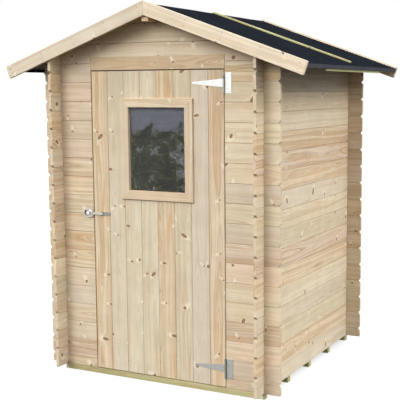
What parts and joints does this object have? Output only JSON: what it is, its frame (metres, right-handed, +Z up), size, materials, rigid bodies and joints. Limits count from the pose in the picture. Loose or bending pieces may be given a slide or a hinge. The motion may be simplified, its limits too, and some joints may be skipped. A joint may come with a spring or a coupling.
{
  "type": "garden shed",
  "caption": "Small log-built garden shed with interlocking wall logs, a felted pitched roof, and one boarded door with a window, T hinges and a hasp.",
  "frame": {"origin": "middle of the plan, on the ground under the bearers", "axes": "+Z up, the door faces -Y, +X to the right of the door seen from outside"},
  "size_m": [1.9976, 1.628, 2.2579],
  "materials": {
    "log_spruce": "raw sawn and planed spruce, small knots",
    "door_spruce": "raw planed spruce, upright grain",
    "trim_spruce": "raw planed spruce, paler and yellower",
    "roof_spruce": "raw planed spruce",
    "bearer_green": "pressure-treated, olive green",
    "batten_green": "pressure-treated, pale grey green",
    "roof_felt": "bitumen felt with mineral grains",
    "zinc_plate": "bright zinc plated steel",
    "chrome_plate": "polished chrome plate",
    "pane_glass": "clear float glass"
  },
  "bodies": {
    "shed": {"bearers": "bearer_green", "floor_boards": "roof_spruce", "left_wall_logs_odd": "log_spruce", "left_wall_logs_even": "log_spruce", "right_wall_logs_odd": "log_spruce", "right_wall_logs_even": "log_spruce", "back_wall_logs_odd": "log_spruce", "back_wall_logs_even": "log_spruce", "back_gable_peak": "log_spruce", "front_left_logs_odd": "log_spruce", "front_left_logs_even": "log_spruce", "front_right_logs_odd": "log_spruce", "front_right_logs_even": "log_spruce", "front_log_over_door": "log_spruce", "front_gable_log": "log_spruce", "front_gable_peak": "log_spruce", "door_header": "trim_spruce", "door_post_left": "roof_spruce", "door_post_right": "roof_spruce", "ridge_purlin": "roof_spruce", "roof_boards_left": "roof_spruce", "roof_boards_right": "roof_spruce", "felt_front": "roof_felt", "felt_rear": "roof_felt", "roof_batten_left": "batten_green", "roof_batten_right": "batten_green", "eave_batten_left": "batten_green", "eave_batten_right": "batten_green", "barge_front_left": "trim_spruce", "barge_front_right": "trim_spruce", "barge_rear_left": "trim_spruce", "barge_rear_right": "trim_spruce", "hinge_plate_top": "zinc_plate", "hinge_plate_bottom": "zinc_plate", "hasp_post": "chrome_plate"},
    "door": {"door_boards_odd": "door_spruce", "door_boards_even": "door_spruce", "door_ledges": "door_spruce", "window_frame_outside": "trim_spruce", "window_frame_inside": "trim_spruce", "window_glass": "pane_glass", "hinge_strap_top": "zinc_plate", "hinge_strap_bottom": "zinc_plate", "hasp_leaf": "chrome_plate"},
    "hasp": {"hasp_strap": "chrome_plate"}
  },
  "joints": [
    {"name": "door_swing", "type": "hinge", "parent": "shed", "child": "door", "pos_m": [0.4515, -0.701, 0.952], "axis": [0, 0, 1], "range_deg": [0, 150]},
    {"name": "hasp_swing", "type": "hinge", "parent": "door", "child": "hasp", "pos_m": [-0.388, -0.7, 1.01], "axis": [0, 0, 1], "range_deg": [0, 150]}
  ]
}
